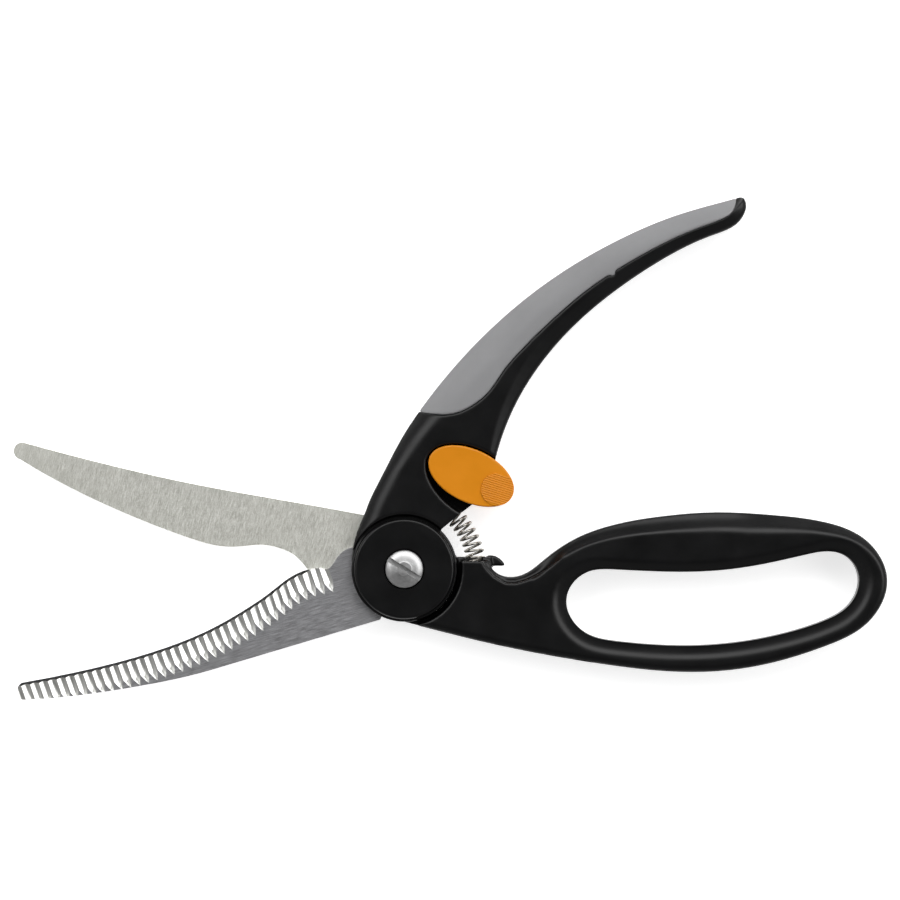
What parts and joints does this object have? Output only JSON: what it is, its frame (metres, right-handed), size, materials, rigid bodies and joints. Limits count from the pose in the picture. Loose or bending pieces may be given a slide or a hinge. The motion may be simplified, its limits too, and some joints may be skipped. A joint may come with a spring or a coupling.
{
  "type": "poultry shears",
  "caption": "Spring-loaded kitchen shears with a smooth blade, a fluted blade, a finger loop, a soft grip handle and a thumb latch, lying open.",
  "frame": {"origin": "on the pivot axis, in the plane of the rear face that the open shears lie on", "axes": "+Z is the pivot axis, out of the front face with the screw head; +X runs from the pivot towards the handles; +Y is the side of the upper handle and of the smooth blade"},
  "size_m": [0.2459, 0.1415, 0.0165],
  "materials": {
    "blade_steel": "satin brushed stainless steel, grain across the blade",
    "fluted_blade_steel": "darker brushed stainless steel, grain along the blade, bright ground flutes",
    "black_plastic": "satin black moulded nylon with a fine texture",
    "grey_grip": "matte grey soft moulding",
    "orange_plastic": "satin orange moulded plastic",
    "polished_steel": "polished steel",
    "spring_steel": "bright drawn spring wire",
    "bush_bronze": "plain turned bronze"
  },
  "bodies": {
    "loop_lever": {"smooth_blade": "blade_steel", "loop_handle": "black_plastic", "rear_pivot_cap": "black_plastic", "pivot_bush": "bush_bronze", "pivot_washer": "polished_steel", "pivot_screw": "polished_steel", "pivot_nut": "polished_steel", "lower_spring_cup": "spring_steel", "return_spring": "spring_steel"},
    "upper_lever": {"serrated_blade": "fluted_blade_steel", "upper_handle": "black_plastic", "soft_grip": "grey_grip", "front_pivot_cap": "black_plastic", "upper_spring_cup": "spring_steel", "latch_pin": "spring_steel", "latch_detent": "spring_steel"},
    "latch": {"latch_front_plate": "orange_plastic", "latch_rear_plate": "orange_plastic", "latch_lever": "orange_plastic"}
  },
  "joints": [
    {"name": "main_pivot", "type": "hinge", "parent": "loop_lever", "child": "upper_lever", "pos_m": [0, 0, 0.0075], "axis": [0, 0, -1], "range_deg": [0, 34], "stiffness_Nm_per_rad": 1.2, "springref_deg": -17.19, "deforming": ["return_spring"]},
    {"name": "latch_pivot", "type": "hinge", "parent": "upper_lever", "child": "latch", "pos_m": [0.01001, 0.03031, 0.0075], "axis": [0, 0, -1], "range_deg": [0, 14]}
  ]
}
